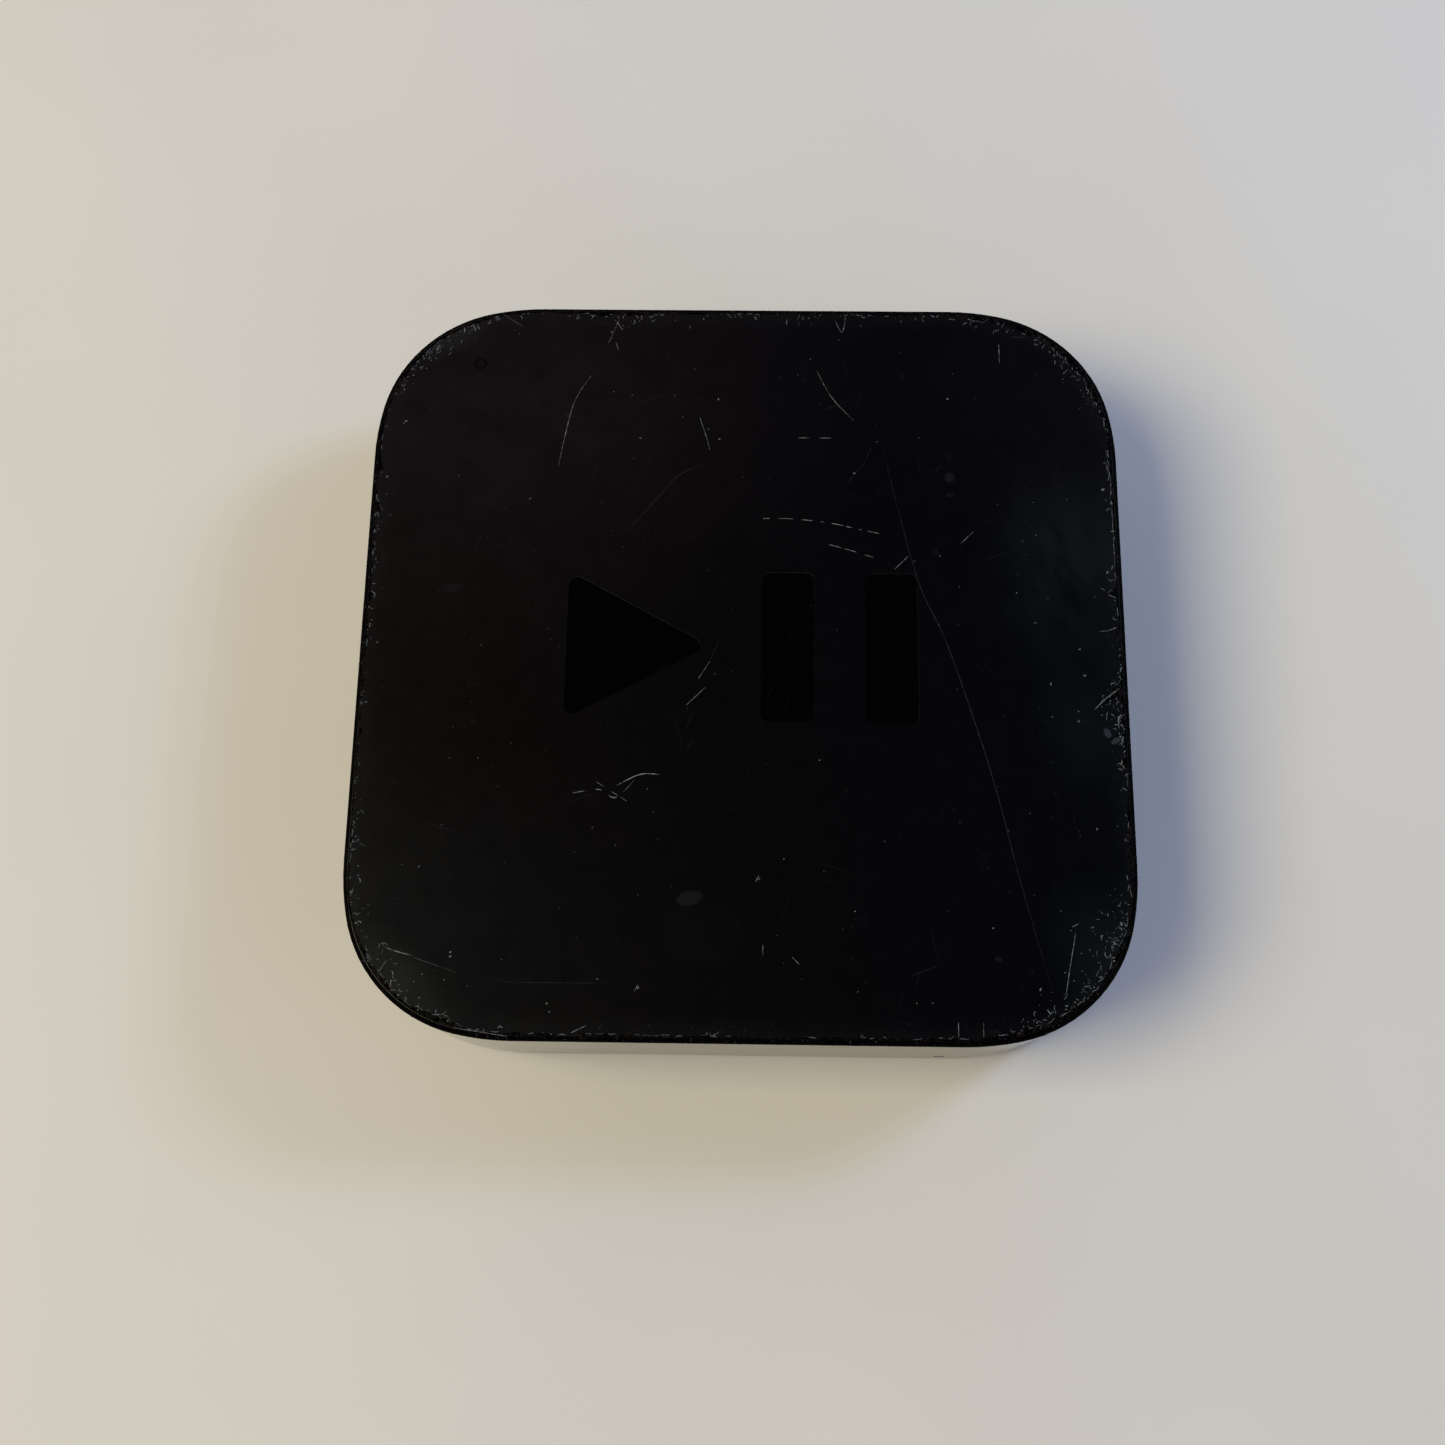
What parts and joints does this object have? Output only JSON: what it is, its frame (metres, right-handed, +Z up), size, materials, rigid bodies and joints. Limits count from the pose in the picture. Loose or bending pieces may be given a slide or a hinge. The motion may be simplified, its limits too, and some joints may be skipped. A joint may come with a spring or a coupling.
{
  "type": "streaming media player",
  "caption": "Flat square black media player box with rounded corners, a play and pause mark on top, rear sockets and a rubber foot.",
  "frame": {"origin": "centre of the square footprint, on the surface the player stands on", "axes": "+Z up, +Y towards the wall with the sockets, -Y towards the front, +X right seen from the front"},
  "size_m": [0.098, 0.098, 0.023],
  "materials": {
    "case_plastic": "fine matte texture on the top, polished rim and walls",
    "cover_plastic": "fine spark texture",
    "foot_rubber": "smooth, dull",
    "ballast_steel": "zinc plated",
    "spreader_aluminium": "as rolled",
    "tape": "thin double-sided tape",
    "pad": "soft gap filler",
    "circuit_board": "solder resist",
    "chip_plastic": "moulded package",
    "shield_metal": "tin plated",
    "capacitor_ceramic": "dull",
    "ferrite": "dull grey",
    "screw_steel": "black zinc",
    "film": "insulating film",
    "fuse_body": "with metal caps",
    "copper": "enamelled winding",
    "line_capacitor_case": "moulded",
    "capacitor_sleeve": "shrink sleeve",
    "winding_tape": "polyester tape",
    "heat_sink": "anodised",
    "header_plastic": "natural",
    "lead_sleeve": "flexible insulation",
    "socket_plastic": "moulded",
    "pin_nickel": "nickel plated",
    "contact_gold": "gold plated",
    "clear_plastic": "clear moulding",
    "receiver_plastic": "dark tinted",
    "ribbon": "flat flexible cable",
    "spring_steel": "bright wire"
  },
  "bodies": {
    "player": {"upper_case": "case_plastic", "bottom_cover": "cover_plastic", "rubber_foot": "foot_rubber", "ballast_plate": "ballast_steel", "heat_spreader": "spreader_aluminium", "spreader_tape": "tape", "thermal_pad": "pad", "main_board": "circuit_board", "processor": "chip_plastic", "memory_chip": "chip_plastic", "flash_chip": "chip_plastic", "power_manager_chip": "chip_plastic", "wireless_module": "chip_plastic", "shield_can": "shield_metal", "network_transformer": "chip_plastic", "crystal": "shield_metal", "board_inductors": "ferrite", "board_capacitors": "capacitor_ceramic", "board_screws": "screw_steel", "supply_board": "circuit_board", "supply_screws": "screw_steel", "supply_film": "film", "fuse": "fuse_body", "line_choke": "copper", "line_capacitor": "line_capacitor_case", "rectifier": "chip_plastic", "supply_heat_sink": "heat_sink", "power_transistor": "chip_plastic", "bulk_capacitors": "capacitor_sleeve", "transformer_core": "ferrite", "transformer_winding": "winding_tape", "output_capacitors": "capacitor_sleeve", "lead_sockets": "header_plastic", "supply_lead": "lead_sleeve", "power_inlet": "socket_plastic", "power_pins": "pin_nickel", "video_port_shell": "shield_metal", "video_port_tongue": "socket_plastic", "video_port_contacts": "contact_gold", "service_port_shell": "shield_metal", "service_port_tongue": "socket_plastic", "service_port_contacts": "contact_gold", "optical_housing": "socket_plastic", "optical_emitter": "receiver_plastic", "shutter_pin": "pin_nickel", "shutter_spring": "spring_steel", "network_jack_shield": "shield_metal", "network_jack_insert": "socket_plastic", "network_jack_contacts": "contact_gold", "front_board": "circuit_board", "status_light": "clear_plastic", "light_pipe": "clear_plastic", "infrared_receiver": "receiver_plastic", "ribbon_sockets": "header_plastic", "front_ribbon": "ribbon", "side_antenna": "socket_plastic", "front_antenna": "socket_plastic", "antenna_sockets": "contact_gold", "antenna_leads": "lead_sleeve"},
    "shutter": {"optical_shutter": "socket_plastic"}
  },
  "joints": [
    {"name": "shutter_hinge", "type": "hinge", "parent": "player", "child": "shutter", "pos_m": [-0.008, 0.0459, 0.0157], "axis": [-1, 0, 0], "range_deg": [0, 85], "stiffness_Nm_per_rad": 0.0002, "springref_deg": -28.65, "deforming": ["shutter_spring"]}
  ]
}
